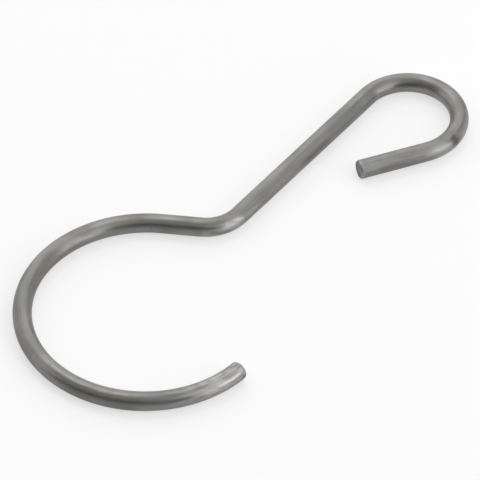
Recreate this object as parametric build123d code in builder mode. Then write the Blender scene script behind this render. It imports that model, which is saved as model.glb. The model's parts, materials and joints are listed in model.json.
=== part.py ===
"""A spring hook bent from one length of round spring wire.

A large open bow springs over a tube. A straight shank carries the pull away from it, and the
wire then turns back on itself in a small eye, which takes a ring, a cord or a chain link.
All the bends lie in one plane, so the hook lies flat.

Frame: millimetres. The tube's axis is Z, and the origin is on it, at mid-wire. The shank runs
along +X, from the bow to the eye. Each piece of the route starts where the last one ends, in
the same direction, so a changed size moves all that follows it.
"""

import os
from math import asin, atan2, degrees, hypot

from build123d import *

# The wire
wire_diameter = 3.0
end_round = 0.35  # radius that the deburring leaves round each cut end

# The bow, and the tube that it springs over
tube_diameter = 33.7
tube_clearance = 0.5  # between the tube and the wire, all round
bow_sweep = 236.5  # degrees of tube that the wire goes round

# The way from the bow to the shank
shoulder_length = 6.0  # straight wire between the bow and the neck
neck_inside_radius = 4.9
shank_offset = 1.2  # how far the shank's line passes from the tube's axis
shank_length = 33.2

# The eye
eye_inside_radius = 6.5
eye_sweep = 212.0  # degrees
leg_length = 11.5  # straight wire past the eye, up to its cut end

# Radii along the middle of the wire
wire_radius = wire_diameter / 2
bow_radius = tube_diameter / 2 + tube_clearance + wire_radius
neck_radius = neck_inside_radius + wire_radius
eye_radius = eye_inside_radius + wire_radius

# The bow ends, and the shoulder leaves it, at the angle from +X for which a neck of that radius
# brings the wire round onto the shank's line.
neck_height = shank_offset + neck_radius
neck_reach = bow_radius + neck_radius
bow_end_angle = degrees(
    asin(neck_height / hypot(neck_reach, shoulder_length))
    + atan2(shoulder_length, neck_reach)
)
neck_turn = 90 - bow_end_angle

# The middle of the wire, from the bow's free end to the eye's
with BuildLine() as route:
    bow = CenterArc((0, 0), bow_radius, bow_end_angle + bow_sweep, -bow_sweep)
    shoulder = Line(bow @ 1, bow @ 1 + shoulder_length * (bow % 1))
    neck = JernArc(shoulder @ 1, shoulder % 1, neck_radius, neck_turn)
    shank = Line(neck @ 1, neck @ 1 + shank_length * (neck % 1))
    eye = JernArc(shank @ 1, shank % 1, eye_radius, -eye_sweep)
    leg = Line(eye @ 1, eye @ 1 + leg_length * (eye % 1))

# The bow grips only while its mouth is narrower than the tube. A ring goes into the eye through
# the gap between the leg's end and the shank.
mouth_width = neck.distance_to(bow @ 0) - wire_diameter
eye_gap = shank.distance_to(leg @ 1) - wire_diameter
print(f"bow mouth {mouth_width:.1f} mm, for a tube of {tube_diameter:.1f} mm")
print(f"eye gap {eye_gap:.1f} mm")
print(f"length of wire to cut {route.wires()[0].length:.1f} mm")

with BuildPart() as spring_hook:
    with BuildSketch(Plane(origin=bow @ 0, z_dir=bow % 0)):
        Circle(wire_radius)
    sweep(path=route.line)
    # Only the two cut ends are flat.
    cut_ends = spring_hook.faces().filter_by(GeomType.PLANE)
    fillet(cut_ends.edges(), radius=end_round)
spring_hook.part.label = "spring_hook"

os.makedirs("parts", exist_ok=True)
export_step(spring_hook.part, "parts/spring_hook.step")
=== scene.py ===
# %% [markdown]
# # A spring hook of bent wire
#
# This hook is one length of round spring wire. A wide open bow springs over a tube, a straight
# shank carries the pull, and a small eye takes a ring or a cord. There are no other pieces, so
# the whole picture rests on three things: the run of the bends, the finish of drawn steel, and
# the light that the steel mirrors.
#
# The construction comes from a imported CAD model, which is loaded first and never changed. What
# is made here is a finer wire of the same size, with marks that the CAD model doesn't hold.

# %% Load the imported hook
import json
from math import asin, atan2, cos, degrees, hypot, pi, radians, sin, tan, tau

import bmesh
import bpy
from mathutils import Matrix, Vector
from mathutils.bvhtree import BVHTree


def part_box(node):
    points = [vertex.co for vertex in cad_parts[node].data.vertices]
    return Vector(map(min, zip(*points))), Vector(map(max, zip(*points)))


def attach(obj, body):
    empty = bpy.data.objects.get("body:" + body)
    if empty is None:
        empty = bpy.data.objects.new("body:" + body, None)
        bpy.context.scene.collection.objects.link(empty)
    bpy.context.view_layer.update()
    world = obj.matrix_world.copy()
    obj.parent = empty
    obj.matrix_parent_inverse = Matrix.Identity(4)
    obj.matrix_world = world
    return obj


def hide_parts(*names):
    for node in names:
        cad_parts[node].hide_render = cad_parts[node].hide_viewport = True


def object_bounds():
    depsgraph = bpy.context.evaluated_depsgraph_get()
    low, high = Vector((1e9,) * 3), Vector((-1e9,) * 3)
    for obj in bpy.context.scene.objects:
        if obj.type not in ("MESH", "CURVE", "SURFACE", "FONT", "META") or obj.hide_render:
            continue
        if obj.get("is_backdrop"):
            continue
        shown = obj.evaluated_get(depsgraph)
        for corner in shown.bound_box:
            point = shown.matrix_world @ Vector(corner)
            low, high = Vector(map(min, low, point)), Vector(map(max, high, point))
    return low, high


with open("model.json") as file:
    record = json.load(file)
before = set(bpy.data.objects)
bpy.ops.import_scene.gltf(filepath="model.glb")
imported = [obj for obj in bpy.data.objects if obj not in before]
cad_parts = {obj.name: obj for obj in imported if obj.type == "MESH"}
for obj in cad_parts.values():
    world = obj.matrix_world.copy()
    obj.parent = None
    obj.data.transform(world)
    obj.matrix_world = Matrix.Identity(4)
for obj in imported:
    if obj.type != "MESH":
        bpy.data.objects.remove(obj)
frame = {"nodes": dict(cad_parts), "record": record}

MM = 0.001
scene = bpy.context.scene
cad_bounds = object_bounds()
low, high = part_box("spring_hook")
print("CAD size in mm:", [round(side / MM, 2) for side in high - low])

# %% [markdown]
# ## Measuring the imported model
#
# A wire form is fully told by the wire's radius and a list of runs: so far straight, then so far
# round a pin of this radius. Most of that list can be measured on the CAD model. Its box gives
# the wire's thickness and the radius of both loops. Its mounts give the middle of the eye, and
# the length and direction of the last straight run.

# %% Sizes that the model gives
mounts = {mount["name"]: mount for mount in frame["record"]["mounts"]}
leg = mounts["leg_end"]
eye_centre = Vector(mounts["eye_seat"]["pos_m"])

wire_radius = (high.z - low.z) / 2
bow_radius = -low.x - wire_radius
eye_radius = high.x - eye_centre.x - wire_radius
eye_sweep = tau - atan2(leg["axis"][1], leg["axis"][0])
shank_height = eye_centre.y + eye_radius
print(f"wire {2 * wire_radius / MM:.2f} mm thick, radius of the bow {bow_radius / MM:.2f} mm")
print(f"eye {eye_radius / MM:.2f} mm in radius, turned through {degrees(eye_sweep):.1f} degrees")

# %% [markdown]
# ## The sizes that a box can't show
#
# How far the bow wraps round its tube, how long the shoulder is after it, and how tight the neck
# is bent are written down. The rest follows from them. The neck has to end on the line of the
# shank, pointing along it, and only one angle of the shoulder does that. A right-angled triangle
# gives it: its two short sides are the shoulder and the two radii laid end to end.

# %% Sizes of the bow, the neck and the cut ends
bow_sweep = radians(236.5)
shoulder_length = 6.0 * MM
neck_inside_radius = 4.9 * MM
end_round = 0.35 * MM

neck_radius = neck_inside_radius + wire_radius
neck_height = shank_height + neck_radius
neck_reach = bow_radius + neck_radius
bow_end = asin(neck_height / hypot(neck_reach, shoulder_length)) + atan2(shoulder_length, neck_reach)
neck_turn = pi / 2 - bow_end
shank_start = neck_reach * cos(bow_end) + shoulder_length * sin(bow_end)
shank_length = eye_centre.x - shank_start
leg_length = leg["dims"]["length_mm"] * MM + end_round

bent_length = bow_radius * bow_sweep + neck_radius * neck_turn + eye_radius * eye_sweep
wire_length = bent_length + shoulder_length + shank_length + leg_length
print(f"neck turns {degrees(neck_turn):.1f} degrees, shank {shank_length / MM:.2f} mm")
print(f"the straight wire is cut {wire_length / MM:.1f} mm long")

# %% [markdown]
# ## Helpers for node trees
#
# Both the shape and the finish are built as node trees. Written out node by node, a tree is long
# and hard to follow, so one helper adds a node and fills its inputs, and two more do sums on
# numbers and on vectors. An input may be a plain value or the output of another node, which is
# then wired in.

# %% Add a node, wire its inputs, do a sum
def add(tree, kind, inputs=None, **settings):
    """Adds a node. Its settings come first, because some of them decide which inputs it has."""
    node = tree.nodes.new(kind)
    for name, value in settings.items():
        setattr(node, name, value)
    for key, value in (inputs or {}).items():
        if isinstance(value, bpy.types.NodeSocket):
            tree.links.new(value, node.inputs[key])
        else:
            node.inputs[key].default_value = value
    return node


def sums(tree, operation, *values, **settings):
    """The result of one Math node."""
    node = add(tree, "ShaderNodeMath", dict(enumerate(values)), operation=operation, **settings)
    return node.outputs[0]


def vectors(tree, operation, *values, result="Vector"):
    """The result of one Vector Math node. Scaling keeps its number in an input of its own."""
    keys = (0, "Scale") if operation == "SCALE" else (0, 1, 2)
    node = add(tree, "ShaderNodeVectorMath", dict(zip(keys, values)), operation=operation)
    return node.outputs[result]


def new_group(name, inputs, outputs):
    """An empty geometry tree with those sockets, and its two end nodes."""
    tree = bpy.data.node_groups.new(name, "GeometryNodeTree")
    for socket, kind in inputs:
        tree.interface.new_socket(socket, in_out="INPUT", socket_type="NodeSocket" + kind)
    for socket, kind in outputs:
        tree.interface.new_socket(socket, in_out="OUTPUT", socket_type="NodeSocket" + kind)
    start, end = tree.nodes.new("NodeGroupInput"), tree.nodes.new("NodeGroupOutput")
    return tree, start.outputs, end.inputs


print("helpers ready:", add.__name__, sums.__name__, vectors.__name__, new_group.__name__)

# %% [markdown]
# ## One run of straight wire
#
# A wire bender knows two moves: feed the wire straight, or turn it round a pin. Each move starts
# where the last one stopped, pointing the same way. A node group can do just that. It takes a
# start and a heading, draws its own line, and hands on its end and its new heading.
#
# Each point of a run also remembers how the bend pulls it: a vector away from the pin's middle,
# which is longer where the pin is smaller. On a straight run it is zero. The finish needs it
# later, because a bent stretch is marked and a straight one isn't.

# %% The group that feeds the wire
LINE_POINTS = 96
RUN_OUTPUTS = [("Line", "Geometry"), ("End", "Vector"), ("Heading", "Float")]


def remember_pull(tree, line, pull):
    """Stores the pull of the bend on a run's points."""
    inputs = {"Geometry": line, "Name": "pull", "Value": pull}
    return add(tree, "GeometryNodeStoreNamedAttribute", inputs, data_type="FLOAT_VECTOR").outputs[0]


def spoke(tree, angle, length):
    """A level vector of that length, at an angle from the X axis."""
    x, y = sums(tree, "COSINE", angle), sums(tree, "SINE", angle)
    return vectors(tree, "SCALE", add(tree, "ShaderNodeCombineXYZ", {"X": x, "Y": y}).outputs[0], length)


def straight_run():
    """The node group that feeds the wire straight."""
    inputs = [("Start", "Vector"), ("Heading", "Float"), ("Length", "Float")]
    tree, given, made = new_group("Straight run", inputs, RUN_OUTPUTS)
    end = vectors(tree, "ADD", given["Start"], spoke(tree, given["Heading"], given["Length"]))
    line = add(tree, "GeometryNodeCurvePrimitiveLine", {"Start": given["Start"], "End": end})
    line = add(tree, "GeometryNodeResampleCurve", {"Curve": line.outputs[0], "Count": LINE_POINTS})
    tree.links.new(remember_pull(tree, line.outputs[0], (0.0, 0.0, 0.0)), made["Line"])
    tree.links.new(end, made["End"])
    tree.links.new(given["Heading"], made["Heading"])
    return tree


straight = straight_run()
print("made the group:", straight.name, "with", len(straight.nodes), "nodes")

# %% [markdown]
# ## One bend round a pin
#
# A bend to the left and a bend to the right differ only in the sign of the turn, so one group
# does both. The pin stands square to the heading, on the side that the wire turns to. Curve Arc
# then draws the bend about the pin's middle, and the pull is each point's own spoke, divided by
# the square of the radius. That makes it as long as the bend is sharp.

# %% The group that turns the wire
BEND_POINTS = 256


def bend_run():
    """The node group that turns the wire round a pin, to the left where Turn is positive."""
    inputs = [("Start", "Vector"), ("Heading", "Float"), ("Radius", "Float"), ("Turn", "Float")]
    tree, given, made = new_group("Bend", inputs, RUN_OUTPUTS)
    quarter = sums(tree, "MULTIPLY", sums(tree, "SIGN", given["Turn"]), pi / 2)
    first = sums(tree, "SUBTRACT", given["Heading"], quarter)
    last = sums(tree, "ADD", first, given["Turn"])
    pin = vectors(tree, "SUBTRACT", given["Start"], spoke(tree, first, given["Radius"]))

    arc = add(tree, "GeometryNodeCurveArc", {
        "Resolution": BEND_POINTS, "Radius": given["Radius"],
        "Start Angle": first, "Sweep Angle": given["Turn"],
    })
    own_spoke = add(tree, "GeometryNodeInputPosition").outputs[0]
    sharpness = sums(tree, "POWER", given["Radius"], -2.0)
    line = remember_pull(tree, arc.outputs["Curve"], vectors(tree, "SCALE", own_spoke, sharpness))
    line = add(tree, "GeometryNodeTransform", {"Geometry": line, "Translation": pin})
    tree.links.new(line.outputs[0], made["Line"])
    tree.links.new(vectors(tree, "ADD", pin, spoke(tree, last, given["Radius"])), made["End"])
    tree.links.new(sums(tree, "ADD", given["Heading"], given["Turn"]), made["Heading"])
    return tree


bend = bend_run()
print("made the group:", bend.name, "with", len(bend.nodes), "nodes")

# %% [markdown]
# ## Six runs make the route
#
# Chained up, the two groups draw the middle of the wire: bow, shoulder, neck, shank, eye and leg.
# Every input is a size that a maker would give. Change the shank's length and the eye moves out
# by itself, because no point of it is placed by hand.
#
# The six lines are still separate. Turned into edges, with the doubled end points merged, and
# back into a curve, they become one route that can be measured from end to end. Mesh to Curve
# starts at the leg's end, so the route is reversed to start at the free end of the bow.

# %% The route of the wire
WIRE_SIZES = {
    "Wire Radius": wire_radius,
    "End Round": end_round,
    "Free End Angle": bow_end + bow_sweep,
    "Bow Radius": bow_radius,
    "Bow Turn": -bow_sweep,
    "Shoulder Length": shoulder_length,
    "Neck Radius": neck_radius,
    "Neck Turn": neck_turn,
    "Shank Length": shank_length,
    "Eye Radius": eye_radius,
    "Eye Turn": -eye_sweep,
    "Leg Length": leg_length,
    "Bend Thinning": 0.02,
    "Cut Dents": 0.07 * MM,
    "Dent Seed": 3.0,
}
JOIN_DISTANCE = 1e-6


def route_of_wire(tree, size):
    """The six runs, end to end, as one curve that starts at the bow's free end."""
    place = spoke(tree, size["Free End Angle"], size["Bow Radius"])
    heading = sums(tree, "SUBTRACT", size["Free End Angle"], pi / 2)
    runs = [
        (bend, {"Radius": size["Bow Radius"], "Turn": size["Bow Turn"]}),
        (straight, {"Length": size["Shoulder Length"]}),
        (bend, {"Radius": size["Neck Radius"], "Turn": size["Neck Turn"]}),
        (straight, {"Length": size["Shank Length"]}),
        (bend, {"Radius": size["Eye Radius"], "Turn": size["Eye Turn"]}),
        (straight, {"Length": size["Leg Length"]}),
    ]
    joined = tree.nodes.new("GeometryNodeJoinGeometry")
    for group, sizes in runs:
        run = tree.nodes.new("GeometryNodeGroup")
        run.node_tree = group
        for key, value in {"Start": place, "Heading": heading, **sizes}.items():
            tree.links.new(value, run.inputs[key])
        tree.links.new(run.outputs["Line"], joined.inputs[0])
        place, heading = run.outputs["End"], run.outputs["Heading"]
    edges = add(tree, "GeometryNodeCurveToMesh", {"Curve": joined.outputs[0]}).outputs[0]
    inputs = {"Geometry": edges, "Distance": JOIN_DISTANCE}
    edges = add(tree, "GeometryNodeMergeByDistance", inputs).outputs[0]
    whole = add(tree, "GeometryNodeMeshToCurve", {"Mesh": edges}).outputs[0]
    return add(tree, "GeometryNodeReverseCurve", {"Curve": whole}).outputs[0]


print("the route takes", len(WIRE_SIZES), "named sizes")

# %% [markdown]
# ## Rolling a sheet into the wire
#
# Curve to Mesh would sweep a circle along the route, but it leaves a flat disc with a sharp rim
# at each end. The real ends are cut, then tumbled, so the rim is rounded and the face is a little
# rough. So the skin starts as a flat grid instead. Its X says how far along the wire a point
# belongs, and its Y how far round. One formula then rolls it up: the first rows fan out over
# the cut face, the next few turn over the rim, and the rest run along the wire.

# %% Where each row of the skin goes
FACE_ROWS = 14
RIM_ROWS = 8
BODY_ROWS = 600
SIDES = 64
ROWS = 2 * (FACE_ROWS + RIM_ROWS) + BODY_ROWS


def rows_of_skin(tree, size, far, length):
    """How wide each row is, how far in from its own end, and how far out on the cut face."""
    row = sums(tree, "MULTIPLY", far, ROWS - 1)
    row_back = sums(tree, "SUBTRACT", ROWS - 1, row)
    near_end = sums(tree, "MINIMUM", row, row_back)
    face = sums(tree, "DIVIDE", near_end, FACE_ROWS, use_clamp=True)
    rim = sums(tree, "DIVIDE", sums(tree, "SUBTRACT", near_end, FACE_ROWS), RIM_ROWS, use_clamp=True)
    body = sums(tree, "MAXIMUM", sums(tree, "SUBTRACT", near_end, FACE_ROWS + RIM_ROWS), 0.0)

    turn = sums(tree, "MULTIPLY", rim, pi / 2)
    face_radius = sums(tree, "SUBTRACT", size["Wire Radius"], size["End Round"])
    over_rim = sums(tree, "MULTIPLY", size["End Round"], sums(tree, "SINE", turn))
    radius = sums(tree, "MULTIPLY_ADD", face, face_radius, over_rim)

    down_rim = sums(tree, "SUBTRACT", 1.0, sums(tree, "COSINE", turn))
    body_length = sums(tree, "MULTIPLY_ADD", size["End Round"], -2.0, length)
    body_step = sums(tree, "DIVIDE", body_length, BODY_ROWS - 1)
    along_body = sums(tree, "MULTIPLY", body, body_step)
    inward = sums(tree, "MULTIPLY_ADD", size["End Round"], down_rim, along_body)
    far_half = sums(tree, "GREATER_THAN", row, row_back)
    on_face = sums(tree, "LESS_THAN", near_end, FACE_ROWS + 0.5)  # half a row past the last one
    return radius, inward, face, on_face, far_half


print(ROWS, "rows of", SIDES, "faces, one row every", round(wire_length / BODY_ROWS / MM, 2), "mm")

# %% [markdown]
# ## The cut ends
#
# Wire is cut in a shear. The blade presses the steel in before it breaks, so no end is a flat
# disc: it has soft dents, deepest near the middle and none at the rim. They are real geometry,
# a few hundredths of a millimetre deep, because light that slides over a flat disc gives it away.
# They only go inwards, so the wire never grows past its length.

# %% Dents of the shear
DENT_WIDTH = 0.9 * MM


def shear_dents(tree, size, across, upward, face):
    """How deep each point of a cut face is pressed in."""
    spot = add(tree, "ShaderNodeCombineXYZ", {"X": across, "Y": upward}).outputs[0]
    dents = add(tree, "ShaderNodeTexNoise", {
        "Vector": spot, "W": size["Dent Seed"], "Scale": 1 / DENT_WIDTH, "Detail": 3.0,
    }, noise_dimensions="4D").outputs[0]
    from_rim = sums(tree, "SUBTRACT", 1.0, sums(tree, "POWER", face, 3.0))
    return sums(tree, "MULTIPLY", sums(tree, "MULTIPLY", dents, from_rim), size["Cut Dents"])


print(f"dents about {DENT_WIDTH / MM} mm wide, up to {WIRE_SIZES['Cut Dents'] / MM:.2f} mm deep")

# %% [markdown]
# ## What the wire remembers
#
# The die that drew this wire scratched it while it was still straight. So the scratches must be
# laid out on the straight wire and be bent with it. Each point of the skin therefore keeps its
# place on the straight wire, as an attribute, and the finish reads that in place of the real one.
#
# Two more facts are kept. One is the stretch, which is positive outside a bend, where the steel
# was pulled, and negative inside, where it was pressed on the pin. The other says whether a point
# lies on a cut face. In a tight bend the wire is also a touch thinner across. A real bend starts
# softly, so the pull is blurred over the rows near each end of it.

# %% The tree that rolls up the skin
WELD_DISTANCE = 2e-7
EASING_STEPS = 12


def placed_on_route(tree, size, route, along, across, upward):
    """Where a point of the skin comes to lie once the wire is bent, and how it is stretched."""
    pull = add(tree, "GeometryNodeInputNamedAttribute", {"Name": "pull"}, data_type="FLOAT_VECTOR")
    spot = add(tree, "GeometryNodeSampleCurve", {
        "Curves": route, "Value": pull.outputs["Attribute"], "Length": along,
    }, mode="LENGTH", data_type="FLOAT_VECTOR", use_all_curves=True)
    eased = add(tree, "GeometryNodeBlurAttribute", {
        "Value": spot.outputs["Value"], "Iterations": EASING_STEPS,
    }, data_type="FLOAT_VECTOR").outputs[0]
    left = vectors(tree, "CROSS_PRODUCT", (0.0, 0.0, 1.0), spot.outputs["Tangent"])
    sharpness = vectors(tree, "LENGTH", eased, result="Value")
    bent = sums(tree, "MULTIPLY", sharpness, size["Eye Radius"])
    thinner = sums(tree, "MULTIPLY", bent, size["Bend Thinning"])
    narrow = sums(tree, "MULTIPLY", across, sums(tree, "SUBTRACT", 1.0, thinner))
    sideways = vectors(tree, "SCALE", left, narrow)
    lift = add(tree, "ShaderNodeCombineXYZ", {"Z": upward}).outputs[0]
    place = vectors(tree, "ADD", vectors(tree, "ADD", spot.outputs["Position"], sideways), lift)
    stretch = vectors(tree, "DOT_PRODUCT", sideways, eased, result="Value")
    return place, stretch


def bent_wire_tree(finish):
    """The whole tree, from the sizes to a closed skin that carries its finish."""
    inputs = [(name, "Float") for name in WIRE_SIZES]
    tree, size, made = new_group("Bent wire", inputs, [("Wire", "Geometry")])
    route = route_of_wire(tree, size)
    length = add(tree, "GeometryNodeCurveLength", {"Curve": route}).outputs[0]

    sheet = add(tree, "GeometryNodeMeshGrid", {
        "Size X": 1.0, "Size Y": 1.0, "Vertices X": ROWS, "Vertices Y": SIDES + 1,
    })
    flat = add(tree, "ShaderNodeSeparateXYZ", {0: add(tree, "GeometryNodeInputPosition").outputs[0]})
    # The sheet is 1 wide and centred, so half is added to count from its edge.
    far = sums(tree, "ADD", flat.outputs["X"], 0.5)
    around = sums(tree, "ADD", flat.outputs["Y"], 0.5)
    radius, inward, face, on_face, far_half = rows_of_skin(tree, size, far, length)

    angle = sums(tree, "MULTIPLY", around, tau)
    across = sums(tree, "MULTIPLY", radius, sums(tree, "COSINE", angle))
    upward = sums(tree, "MULTIPLY", radius, sums(tree, "SINE", angle))
    inward = sums(tree, "ADD", inward, shear_dents(tree, size, across, upward, face))
    along = add(tree, "GeometryNodeSwitch", {
        "Switch": far_half, "False": inward, "True": sums(tree, "SUBTRACT", length, inward),
    }, input_type="FLOAT").outputs[0]
    place, stretch = placed_on_route(tree, size, route, along, across, upward)

    on_straight = add(tree, "ShaderNodeCombineXYZ", {"X": across, "Y": upward, "Z": along})
    on_sheet = add(tree, "ShaderNodeCombineXYZ", {"X": around, "Y": far})
    kept = [
        ("straight_place", "FLOAT_VECTOR", "POINT", on_straight.outputs[0]),
        ("stretch", "FLOAT", "POINT", stretch),
        ("cut_face", "FLOAT", "POINT", on_face),
        ("wire_wrap", "FLOAT2", "CORNER", on_sheet.outputs[0]),
    ]
    skin = sheet.outputs["Mesh"]
    for name, kind, domain, value in kept:
        inputs = {"Geometry": skin, "Name": name, "Value": value}
        settings = {"data_type": kind, "domain": domain}
        skin = add(tree, "GeometryNodeStoreNamedAttribute", inputs, **settings).outputs[0]

    skin = add(tree, "GeometryNodeSetPosition", {"Geometry": skin, "Position": place}).outputs[0]
    inputs = {"Geometry": skin, "Distance": WELD_DISTANCE}
    skin = add(tree, "GeometryNodeMergeByDistance", inputs).outputs[0]
    skin = add(tree, "GeometryNodeFlipFaces", {"Mesh": skin}).outputs[0]
    skin = add(tree, "GeometryNodeSetShadeSmooth", {"Geometry": skin}).outputs[0]
    skin = add(tree, "GeometryNodeRealizeInstances", {"Geometry": skin}).outputs[0]
    skin = add(tree, "GeometryNodeSetMaterial", {"Geometry": skin, "Material": finish}).outputs[0]
    tree.links.new(skin, made["Wire"])
    return tree


print(f"{ROWS * (SIDES + 1)} points to roll up, their pull blurred {EASING_STEPS} times")

# %% [markdown]
# ## Marks on the straight wire
#
# Now the finish. Spring wire is pulled through a die, and every hard grain in the die leaves a
# line that runs for millimetres along the wire and is a few hundredths wide. A noise texture is
# round by nature, so its space is squeezed: the place on the straight wire is divided by the
# size of a mark, which is small across and long along.
#
# Every pattern of the finish is a line of one table: how wide its marks are, how long, its seed
# and how much fine detail it has. A pattern that is used twice, for the colour and for the
# roughness, is then the same in both places.

# %% The table of patterns
PATTERNS = {
    # name: (mm across the wire, mm along it, seed, detail)
    "clouds": (2.6, 5.0, 1.0, 3.0),
    "streaks": (0.42, 13.0, 2.0, 2.0),
    "lines": (0.10, 6.0, 3.0, 2.0),
    "brown clouds": (4.0, 9.0, 4.0, 2.0),
    "cool clouds": (4.0, 8.0, 5.0, 2.0),
    "pits": (0.22, 0.4, 6.0, 3.0),
    "grain": (0.045, 0.06, 7.0, 2.0),
    "peel": (0.16, 0.2, 8.0, 2.0),
    "pin marks": (1.4, 0.30, 9.0, 2.0),
    "sheared": (0.09, 0.09, 10.0, 2.0),
    "rubbing": (0.5, 2.2, 11.0, 2.0),
    "patches": (1.1, 3.0, 12.0, 2.0),
    "torn": (0.22, 0.22, 13.0, 5.0),
    "tear line": (0.8, 0.8, 14.0, 2.0),
    "dark patch edge": (0.6, 0.9, 15.0, 2.0),
}


def marks(tree, place, name):
    """Noise from 0 to 1, in the sizes that the table gives under that name."""
    across, along, seed, detail = PATTERNS[name]
    squeezed = vectors(tree, "DIVIDE", place, (across * MM, across * MM, along * MM))
    inputs = {"Vector": squeezed, "W": seed, "Scale": 1.0, "Detail": detail}
    return add(tree, "ShaderNodeTexNoise", inputs, noise_dimensions="4D").outputs[0]


finest = min(PATTERNS, key=lambda name: PATTERNS[name][0])
print(len(PATTERNS), "patterns, the finest is the", finest, "at", PATTERNS[finest][0], "mm")

# %% [markdown]
# ## Easing, mixing, multiplying
#
# Raw noise is a grey haze. A Map Range node cuts a mark out of it: below one value there is
# nothing, above another there is the whole mark, and it eases between the two. Colours are laid
# over each other with a Mix node, which has sockets for numbers, vectors and colours under the
# same names, so the ones for colours are picked by number.

# %% Three more helpers
MIX_SHARE, MIX_ONE, MIX_OTHER, MIX_RESULT = 0, 6, 7, 2


def ramp(tree, value, start, end, first=0.0, last=1.0):
    """Eases from first to last while the value goes from start to end."""
    inputs = {"Value": value, "From Min": start, "From Max": end, "To Min": first, "To Max": last}
    return add(tree, "ShaderNodeMapRange", inputs, interpolation_type="SMOOTHSTEP").outputs[0]


def mixed(tree, share, one, other):
    """One colour, with a share of the other over it."""
    inputs = {MIX_SHARE: share, MIX_ONE: one, MIX_OTHER: other}
    return add(tree, "ShaderNodeMix", inputs, data_type="RGBA").outputs[MIX_RESULT]


def product(tree, first, *others):
    """All the values multiplied together."""
    for other in others:
        first = sums(tree, "MULTIPLY", first, other)
    return first


print("helpers ready:", ramp.__name__, mixed.__name__, product.__name__)

# %% [markdown]
# ## Where the wire has been handled
#
# A few masks say where the plain drawn surface has been changed. The bending pin burnished the
# inside of each tight bend. The outside was pulled, which roughens steel like the peel of an
# orange, and there the bender's roller left bright patches, which also stand as painted
# highlights on the outside of the neck and the eye. The tip of the bow is rubbed bright, because
# it scrapes over the tube each time that the hook goes on. Both rims are rubbed too, from the
# tumbling drum. And on the outside of the eye sits one dark patch.

# %% Masks read from the wire's own facts
TIP_RUBBED = 17.0 * MM
RIM_RUBBED = 0.9 * MM
# a darker colour laid on the outside of the eye, with a ragged edge
DARK_PATCH = Vector((1.30, 0.75, 149.0)) * MM  # across, upward and along the straight wire
DARK_PATCH_WIDTH = 1.6 * MM
TIGHT_BEND = (0.10, 0.20)  # the stretch at which a bend starts to show, and shows in full


def handled(tree):
    """The wire's facts, and the masks that come from them."""
    def fact(name, output):
        return add(tree, "ShaderNodeAttribute", attribute_name=name).outputs[output]

    place, stretch = fact("straight_place", "Vector"), fact("stretch", "Fac")
    from_tip = add(tree, "ShaderNodeSeparateXYZ", {0: place}).outputs["Z"]
    from_end = sums(tree, "MINIMUM", from_tip, sums(tree, "SUBTRACT", wire_length, from_tip))
    streaky = ramp(tree, marks(tree, place, "rubbing"), 0.34, 0.66)
    patchy = ramp(tree, marks(tree, place, "patches"), 0.30, 0.62)
    pulled = ramp(tree, stretch, *TIGHT_BEND)
    pressed = ramp(tree, product(tree, stretch, -1.0), *TIGHT_BEND)
    from_dark_patch = vectors(tree, "DISTANCE", place, tuple(DARK_PATCH), result="Value")
    wobble = product(tree, marks(tree, place, "dark patch edge"), DARK_PATCH_WIDTH)
    ragged = sums(tree, "ADD", from_dark_patch, wobble)
    return {
        "place": place,
        "cut": fact("cut_face", "Fac"),
        "pressed": product(tree, pressed, patchy),
        "pulled": pulled,
        # painted highlight: bright patches outside the tight bends, where the roller also polished the
        # steel
        "rolled and painted highlight": product(tree, pulled, patchy),
        "dark patch": ramp(tree, ragged, 1.35 * DARK_PATCH_WIDTH, 0.65 * DARK_PATCH_WIDTH),
        "rubbed tip": product(tree, ramp(tree, from_tip, TIP_RUBBED, 2.0 * MM), streaky),
        "rubbed rim": ramp(tree, from_end, RIM_RUBBED, 0.2 * MM),
    }


print(f"rubbed: the last {TIP_RUBBED / MM:.0f} mm of the tip and {RIM_RUBBED / MM:.1f} mm of each rim")

# %% [markdown]
# ## The colour of the steel
#
# Bare spring steel darkens to a warm grey, and not evenly. A thin skin of oxide lies on it in
# clouds a few millimetres across, some browner and some cooler. Along the clouds run streaks of
# die soap, and a few dark specks sit in pits. Metal shows its colour only in what it mirrors, so
# small steps of colour are enough. Where the steel is rubbed, the bare metal is lighter, and on
# the torn grain of a cut face it is darker. Outside the tight bends the lighter bare patches are
# also painted highlights, and one dark patch sits on the outside of the eye.

# %% Colours of oxide, bare steel and dirt
OXIDE = [
    (0.00, (0.140, 0.131, 0.120, 1.0)),
    (0.42, (0.196, 0.188, 0.177, 1.0)),
    (0.72, (0.224, 0.219, 0.209, 1.0)),
    (1.00, (0.275, 0.270, 0.259, 1.0)),
]
BROWNER = (0.228, 0.200, 0.172, 1.0)
COOLER = (0.192, 0.201, 0.202, 1.0)
# bare steel where rubbed; outside the tight bends it also paints highlights
BARE_STEEL_AND_HIGHLIGHT = (0.385, 0.388, 0.390, 1.0)
TORN_STEEL = (0.135, 0.137, 0.140, 1.0)
DIRT = (0.055, 0.048, 0.040, 1.0)
TONE_SHARES = {"clouds": (0.45, 0.33, 0.67), "streaks": (0.35, 0.33, 0.67), "lines": (0.20, 0.30, 0.70)}
BARE_AND_HIGHLIGHT_SHARES = {"rubbed tip": 0.75, "pressed": 0.25, "rolled and painted highlight": 0.60, "rubbed rim": 0.35}
CUT_SHARE = 0.8
DARK_PATCH_SHARE = 0.7


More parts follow.
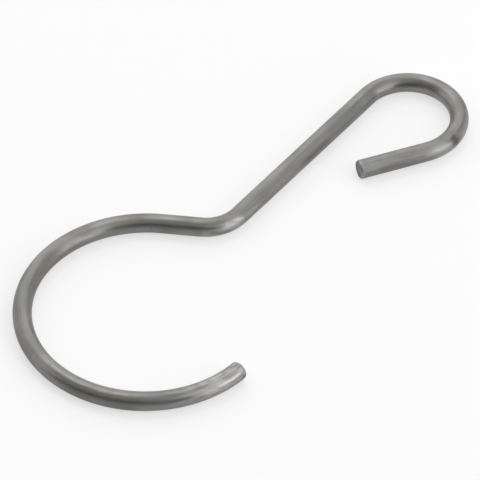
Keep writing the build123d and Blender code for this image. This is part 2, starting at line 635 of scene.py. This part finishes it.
def steel_colour(tree, wire):
    """The colour: oxide clouds and streaks, rubbed bare metal, painted highlights and dark marks."""
    place = wire["place"]
    tone = 0.0
    for name, (share, start, end) in TONE_SHARES.items():
        pattern = ramp(tree, marks(tree, place, name), start, end)
        tone = sums(tree, "ADD", tone, product(tree, pattern, share))
    oxide = tree.nodes.new("ShaderNodeValToRGB")
    stops = oxide.color_ramp.elements
    while len(stops) < len(OXIDE):
        stops.new(0.5)
    for stop, (position, colour) in zip(stops, OXIDE):
        stop.position, stop.color = position, colour
    tree.links.new(tone, oxide.inputs[0])

    brown = ramp(tree, marks(tree, place, "brown clouds"), 0.50, 0.70, 0.0, 0.5)
    cool = ramp(tree, marks(tree, place, "cool clouds"), 0.50, 0.70, 0.0, 0.6)
    colour = mixed(tree, brown, oxide.outputs[0], BROWNER)
    colour = mixed(tree, cool, colour, COOLER)
    specks = ramp(tree, marks(tree, place, "pits"), 0.66, 0.74, 0.0, 0.6)
    colour = mixed(tree, specks, colour, DIRT)
    bare_and_highlight = 0.0
    for mask, share in BARE_AND_HIGHLIGHT_SHARES.items():
        bare_and_highlight = sums(tree, "MAXIMUM", bare_and_highlight, product(tree, wire[mask], share))
    # outside the tight bends this lighter bare steel is a painted highlight
    colour = mixed(tree, bare_and_highlight, colour, BARE_STEEL_AND_HIGHLIGHT)
    colour = mixed(tree, product(tree, wire["cut"], CUT_SHARE), colour, TORN_STEEL)
    # the same dark colour as the pits makes the dark patch on the eye
    return mixed(tree, product(tree, wire["dark patch"], DARK_PATCH_SHARE), colour, DIRT)


print("the oxide's brightness runs from", OXIDE[0][1][1], "to", OXIDE[-1][1][1])

# %% [markdown]
# ## How rough it is
#
# The satin look is mostly roughness. It follows the same lines and streaks as the colour, since
# both come from the die. Dark oxide is a bit duller, what was burnished by the pin, the roller or
# the tube is glossier, and what was pulled or cut is duller.

# %% Roughness
DRAWN_ROUGHNESS = {"clouds": (0.45, 0.37), "streaks": (-0.04, 0.05), "lines": (-0.03, 0.04)}
ROUGHNESS_CHANGES = {"pulled": 0.07, "pressed": -0.05, "rolled and painted highlight": -0.12, "rubbed tip": -0.05, "cut": 0.12}


def steel_roughness(tree, wire):
    """The roughness: first what the die and the oxide gave, then what handling changed."""
    rough = 0.0
    for name, (first, last) in DRAWN_ROUGHNESS.items():
        pattern = ramp(tree, marks(tree, wire["place"], name), 0.30, 0.70, first, last)
        rough = sums(tree, "ADD", rough, pattern)
    for mask, change in ROUGHNESS_CHANGES.items():
        rough = sums(tree, "MULTIPLY_ADD", wire[mask], change, rough)
    return rough


least = sum(min(ends) for ends in DRAWN_ROUGHNESS.values())
most = sum(max(ends) for ends in DRAWN_ROUGHNESS.values())
print(f"roughness of the drawn surface: {least:.2f} to {most:.2f}")

# %% [markdown]
# ## How deep the marks are
#
# The marks are a few thousandths of a millimetre deep, too small for geometry, so they are bump.
# Each depth is written in microns, and the Bump node's distance turns it into metres. On a cut
# face the blade left fine lines over the first half of its way, and then the steel tore, which
# left a coarse grain. The line between the two is never straight.

# %% Bump
MICRON = 1e-6
DEPTHS = {  # in microns
    "lines": 3.2, "streaks": 9.0, "grain": 1.0, "peel": 8.0, "pin marks": 14.0,
    "pits": 7.0, "sheared": 6.0, "torn": 55.0,
}
TEAR_WAVE = 1.2 * MM
TEAR_START = 0.30 * MM
TEAR_END = 0.50 * MM


def steel_depth(tree, wire):
    """The depth of all the marks together, in microns."""
    def depth(name, *masks):
        return product(tree, marks(tree, wire["place"], name), *masks, DEPTHS[name])

    def blended(one, other, share):
        return sums(tree, "ADD", one, product(tree, sums(tree, "SUBTRACT", other, one), share))

    drawn = depth("lines")
    for mark in (
        depth("streaks"),
        depth("grain"),
        depth("peel", wire["pulled"]),
        depth("pin marks", wire["pressed"]),
        ramp(tree, marks(tree, wire["place"], "pits"), 0.64, 0.76, 0.0, -DEPTHS["pits"]),
    ):
        drawn = sums(tree, "ADD", drawn, mark)

    upward = add(tree, "ShaderNodeSeparateXYZ", {0: wire["place"]}).outputs["Y"]
    wavy = sums(tree, "MULTIPLY_ADD", marks(tree, wire["place"], "tear line"), TEAR_WAVE, upward)
    tear = ramp(tree, wavy, TEAR_START, TEAR_END)
    cut = blended(depth("sheared"), depth("torn"), tear)
    return blended(drawn, cut, wire["cut"])


print("depths in microns:", DEPTHS)

# %% [markdown]
# ## The finish put together
#
# One Principled shader takes the three patterns. It is all metal. Lines that run one way smear
# a reflection across them, which is what Anisotropic does, and the Tangent node gives it the
# way round the wire, from the UV map. The amount is the same all over, so it is set on the
# shader itself.

# %% Drawn steel
def drawn_steel():
    """The one material of the hook."""
    finish = bpy.data.materials.new("drawn_spring_steel")
    finish.use_nodes = True
    tree = finish.node_tree
    wire = handled(tree)
    shader = tree.nodes["Principled BSDF"]
    shader.inputs["Metallic"].default_value = 1.0
    shader.inputs["Anisotropic"].default_value = 0.5
    bump = add(tree, "ShaderNodeBump", {
        "Height": steel_depth(tree, wire), "Distance": MICRON, "Strength": 1.0,
    })
    round_wire = add(tree, "ShaderNodeTangent", direction_type="UV_MAP", uv_map="wire_wrap")
    tree.links.new(steel_colour(tree, wire), shader.inputs["Base Color"])
    tree.links.new(steel_roughness(tree, wire), shader.inputs["Roughness"])
    tree.links.new(bump.outputs[0], shader.inputs["Normal"])
    tree.links.new(round_wire.outputs[0], shader.inputs["Tangent"])
    return finish


steel = drawn_steel()
print("made the finish:", steel.name, "with", len(steel.node_tree.nodes), "nodes")

# %% [markdown]
# ## Making the wire
#
# A modifier runs the tree. Its inputs are set by each socket's identifier, before the object is
# looked at for the first time, since a name may be used twice in a tree and an identifier can't.
# The result is then copied out as a plain mesh and the modifier is taken off, so that nothing
# about the piece changes later.

# %% Run the tree and keep a plain mesh
def plain_mesh(name, tree, sizes, finish):
    """Runs a geometry tree with those sizes, and keeps the result as a plain mesh object."""
    maker = bpy.data.objects.new(name, bpy.data.meshes.new(name))
    scene.collection.objects.link(maker)
    shaper = maker.modifiers.new("shape", "NODES")
    shaper.node_group = tree
    for item in tree.interface.items_tree:
        if item.in_out == "INPUT":
            shaper[item.identifier] = sizes[item.name]
    shapes = bpy.context.evaluated_depsgraph_get()
    mesh = bpy.data.meshes.new_from_object(maker.evaluated_get(shapes), depsgraph=shapes)
    maker.modifiers.remove(shaper)
    mesh.materials.clear()
    mesh.materials.append(finish)
    for face in mesh.polygons:
        face.material_index = 0
    maker.data = mesh
    return maker


wire = plain_mesh("bent_wire", bent_wire_tree(steel), WIRE_SIZES, steel)
print(len(wire.data.vertices), "points and", len(wire.data.polygons), "faces")

# %% [markdown]
# ## Measuring what was made
#
# A picture can't show that a skin is closed, or that its faces point outwards, so both are
# measured. The volume is positive only when the faces point outwards, and it should be close to
# the wire's section times its length. The greatest distance from the CAD model shows that the
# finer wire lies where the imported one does.

# %% Closed, outward, and on the CAD model
def measured(piece, model):
    """Its volume, how many edges are open, and how far it strays from the model."""
    skin = bmesh.new()
    skin.from_mesh(piece.data)
    volume = skin.calc_volume(signed=True)
    open_edges = sum(not edge.is_manifold for edge in skin.edges)
    skin.free()
    surface = BVHTree.FromObject(model, bpy.context.evaluated_depsgraph_get())
    strays = [surface.find_nearest(point.co)[3] for point in piece.data.vertices]
    return volume, open_edges, max(strays)


volume, open_edges, stray = measured(wire, frame["nodes"]["spring_hook"])
expected = pi * wire_radius ** 2 * wire_length
print(f"volume {volume / MM ** 3:.0f} cubic mm, section times length {expected / MM ** 3:.0f}")
print(f"{open_edges} open edges, at most {stray / MM:.3f} mm off the CAD model")

# %% [markdown]
# ## Handing the wire to the frame
#
# The new wire stands in for the CAD node, which stays in the model for its collisions. There are
# no joints, so everything rides on the one body, which is called root.

# %% Replace the plain node
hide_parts("spring_hook")
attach(wire, "root")
print("bent_wire replaces spring_hook")

# %% [markdown]
# ## The sheet that it lies on
#
# The hook lies flat on a sheet of pale matt paper. The sheet is a wide disc whose edge curls up,
# as the paper sweep in a studio does, so a low camera sees paper behind the hook and no horizon.
# Bright metal mirrors this sheet on its whole lower half, so the paper is as much a light as the
# lamps are.
#
# Paper that should look white can be lit more, but then the metal would be too bright. So the
# paper is lifted instead: a Light Path node mixes in plain white, only where a ray comes from the
# camera or from a mirror. The rest of the paper's look is still its own light and shadow.

# %% Paper sweep
PAPER_FLAT = 2.2
PAPER_CURL = 0.4
PAPER_WHITE = (0.86, 0.86, 0.86, 1.0)
PAPER_LIFT = 0.6


def paper_sweep(flat, curl, height, segments=96, curl_rings=8, curl_angle=radians(60)):
    """A disc at that height, level out to flat and then curling up in an arc of radius curl."""
    rings = [(flat, 0.0)]
    for ring in range(1, curl_rings + 1):
        angle = curl_angle * ring / curl_rings
        rings.append((flat + curl * sin(angle), curl * (1 - cos(angle))))
    points = [(0.0, 0.0, height)]
    for reach, lift in rings:
        for k in range(segments):
            around = tau * k / segments
            points.append((reach * cos(around), reach * sin(around), height + lift))
    faces = [(0, 1 + k, 1 + (k + 1) % segments) for k in range(segments)]
    for ring in range(curl_rings):
        inner, outer = 1 + ring * segments, 1 + (ring + 1) * segments
        for k in range(segments):
            after = (k + 1) % segments
            faces.append((inner + k, outer + k, outer + after, inner + after))
    mesh = bpy.data.meshes.new("paper_sweep")
    mesh.from_pydata(points, [], faces)
    mesh.shade_smooth()
    sheet = bpy.data.objects.new("paper_sweep", mesh)
    scene.collection.objects.link(sheet)
    return sheet


def matt_paper():
    """Plain pale paper with no gloss, lifted towards white where it is seen or mirrored."""
    paper = bpy.data.materials.new("matt_paper")
    paper.use_nodes = True
    tree = paper.node_tree
    shader = tree.nodes["Principled BSDF"]
    shader.inputs["Base Color"].default_value = PAPER_WHITE
    shader.inputs["Roughness"].default_value = 1.0
    shader.inputs["Specular IOR Level"].default_value = 0.0
    rays = tree.nodes.new("ShaderNodeLightPath").outputs
    seen = sums(tree, "MAXIMUM", rays["Is Camera Ray"], rays["Is Glossy Ray"])
    seen = sums(tree, "MAXIMUM", seen, rays["Is Transmission Ray"])
    white = add(tree, "ShaderNodeEmission", {"Strength": 1.0})
    lifted = add(tree, "ShaderNodeMixShader", {
        0: sums(tree, "MULTIPLY", seen, PAPER_LIFT), 1: shader.outputs[0], 2: white.outputs[0],
    })
    tree.links.new(lifted.outputs[0], tree.nodes["Material Output"].inputs["Surface"])
    return paper


sheet = paper_sweep(PAPER_FLAT, PAPER_CURL, low.z)
sheet.data.materials.append(matt_paper())
sheet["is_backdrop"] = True
print(f"paper {2 * PAPER_FLAT:.1f} m across, under the wire at {low.z / MM:.2f} mm")

# %% [markdown]
# ## The camera
#
# The hook is seen from above and from the side of its free end, so the bow is near and the eye
# is far. A long lens stands more than a metre off, and that keeps the near and the far wire at
# the same thickness. Only the direction and the distance are chosen: the camera turns itself to
# look at the point that it aims at.

# %% Camera
CAMERA_AZIMUTH = -52.56
CAMERA_ELEVATION = 45.5
CAMERA_DISTANCE = 1.0769
LONG_LENS = 525
aim = Vector((20.75, -2.16, 0.0)) * MM


def toward(azimuth, elevation):
    """The direction of a place round the hook: azimuth 0 is in front of it, on the side of -Y."""
    a, e = radians(azimuth), radians(elevation)
    return Vector((sin(a) * cos(e), -cos(a) * cos(e), sin(e)))


def look_from(item, direction, distance):
    """Puts a camera or a lamp at that distance from the aim, looking back at it."""
    item.location = aim + direction * distance
    item.rotation_mode = "QUATERNION"
    item.rotation_quaternion = direction.to_track_quat("Z", "Y")


camera = bpy.data.objects.new("camera", bpy.data.cameras.new("camera"))
scene.collection.objects.link(camera)
camera.data.lens = LONG_LENS
look_from(camera, toward(CAMERA_AZIMUTH, CAMERA_ELEVATION), CAMERA_DISTANCE)
scene.camera = camera
view_width = camera.data.sensor_width / LONG_LENS * CAMERA_DISTANCE
print(f"the view is {view_width / MM:.0f} mm wide where the hook lies")

# %% [markdown]
# ## Softboxes all round
#
# Metal has hardly any shade of its own. It mirrors the room, so lighting it means building the
# room that it should mirror. Here that is a ring of softboxes a metre away, which stand close
# together, because each gap between two of them would show as a dark line along the wire. Two
# things break the ring up on purpose. To the left of the camera there is no lamp low down, and
# wherever the wire faces that gap it goes dark. To the right, a low bright strip draws the short
# highlights on the bends and on the free end.
#
# Each box is told by where it stands round the hook, counted from the camera, and by how wide
# and high it looks from there, all in degrees. Degrees round the hook are shorter the higher a
# box stands, so its width is narrowed to match, except straight overhead. Its power is worked
# out from its brightness, where 1 is about the brightness of white paper in this light.

# %% Lamps
BOX_DISTANCE = 1.0
OVERHEAD = 90
SOFTBOXES = [
    # name, round from the camera, elevation, width, height, brightness
    ("low_strip", 60, 9.5, 46, 17, 3.6),
    ("near_right", 60, 38, 46, 38, 2.1),
    ("right", 116, 26, 66, 50, 0.8),
    ("back", 182, 28, 66, 54, 1.4),
    ("left", 250, 26, 70, 50, 1.1),
    ("high_left", 312, 54, 60, 24, 0.65),
    ("high_front", 15, 62, 50, 24, 1.3),
    ("high_back", 195, 64, 60, 20, 3.3),
    ("high_right", 100, 62, 70, 22, 1.35),
    ("overhead", 0, OVERHEAD, 40, 40, 0.5),
]


def softbox(name, around, elevation, wide, high, brightness):
    """A lamp that looks that wide and high from the hook, in degrees, and that bright."""
    data = bpy.data.lights.new(name, "AREA")
    data.shape = "RECTANGLE"
    narrowed = 1.0 if elevation == OVERHEAD else cos(radians(elevation))
    data.size = 2 * BOX_DISTANCE * tan(radians(wide / 2)) * narrowed
    data.size_y = 2 * BOX_DISTANCE * tan(radians(high / 2))
    data.energy = brightness * pi * data.size * data.size_y
    lamp = bpy.data.objects.new(name, data)
    scene.collection.objects.link(lamp)
    lamp.visible_camera = False
    look_from(lamp, toward(CAMERA_AZIMUTH + around, elevation), BOX_DISTANCE)
    return lamp


lamps = [softbox(*box) for box in SOFTBOXES]
print("softboxes:", ", ".join(f"{lamp.name} {lamp.data.energy:.1f} W" for lamp in lamps))

# %% [markdown]
# ## The last of the light, and plain colours
#
# The world gives only what the dim walls of a studio would, since the boxes do the work. The
# view transform is Standard, so a colour comes out about as it is written.

# %% World and view
DIM_WALLS = (0.07, 0.07, 0.07, 1.0)
world = bpy.data.worlds.new("studio_walls")
world.use_nodes = True
world.node_tree.nodes["Background"].inputs["Color"].default_value = DIM_WALLS
scene.world = world
scene.view_settings.view_transform = "Standard"
print("light from the walls:", DIM_WALLS[0])

# %% [markdown]
# ## Two boxes side by side
#
# The visual model must not outgrow the CAD model, so both boxes are written down side by side.

# %% Print both boxes
seen_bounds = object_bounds()
for name, bounds in (("CAD", cad_bounds), ("seen", seen_bounds)):
    print(name, [[round(value / MM, 2) for value in corner] for corner in bounds])
